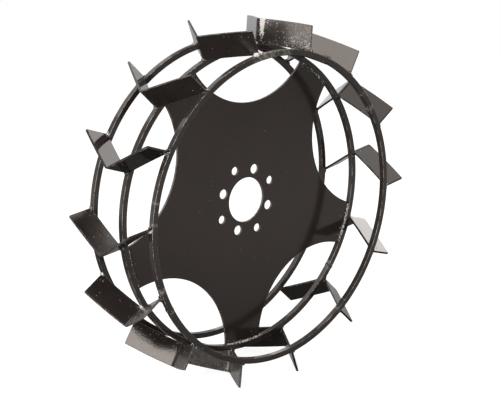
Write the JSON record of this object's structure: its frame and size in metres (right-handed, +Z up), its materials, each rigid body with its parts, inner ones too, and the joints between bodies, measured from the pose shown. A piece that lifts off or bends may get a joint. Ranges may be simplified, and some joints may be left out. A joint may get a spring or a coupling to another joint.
{
  "type": "walk-behind tractor lug wheel",
  "caption": "Open iron lug wheel: hoops of square bar around a scalloped bolt-on disc, with bent V lugs standing on the rim for grip in loose soil.",
  "frame": {"origin": "the wheel's centre, on the axle line in the middle plane of the disc", "axes": "+Y along the axle line, away from the near side that the picture shows; +Z up, with the wheel standing on two neighbouring lugs"},
  "size_m": [0.638, 0.1714, 0.6329],
  "materials": {
    "hoop_bar": "glossy black-brown paint over rolled square bar",
    "disc_plate": "glossy black-brown paint over flat plate",
    "lug_bar": "glossy black-brown paint over bent flat bar, a little orange peel",
    "weld_bead": "glossy paint over rippled weld beads"
  },
  "bodies": {
    "root": {"hoop_far": "hoop_bar", "butt_weld_far": "weld_bead", "hoop_middle": "hoop_bar", "butt_weld_middle": "weld_bead", "hoop_near": "hoop_bar", "butt_weld_near": "weld_bead", "disc": "disc_plate", "disc_welds": "weld_bead", "lug_01": "lug_bar", "lug_02": "lug_bar", "lug_03": "lug_bar", "lug_04": "lug_bar", "lug_05": "lug_bar", "lug_06": "lug_bar", "lug_07": "lug_bar", "lug_08": "lug_bar", "lug_09": "lug_bar", "lug_10": "lug_bar", "lug_11": "lug_bar", "lug_12": "lug_bar", "lug_13": "lug_bar", "lug_14": "lug_bar", "lug_welds_far": "weld_bead", "lug_welds_middle": "weld_bead", "lug_welds_near": "weld_bead"}
  },
  "joints": []
}
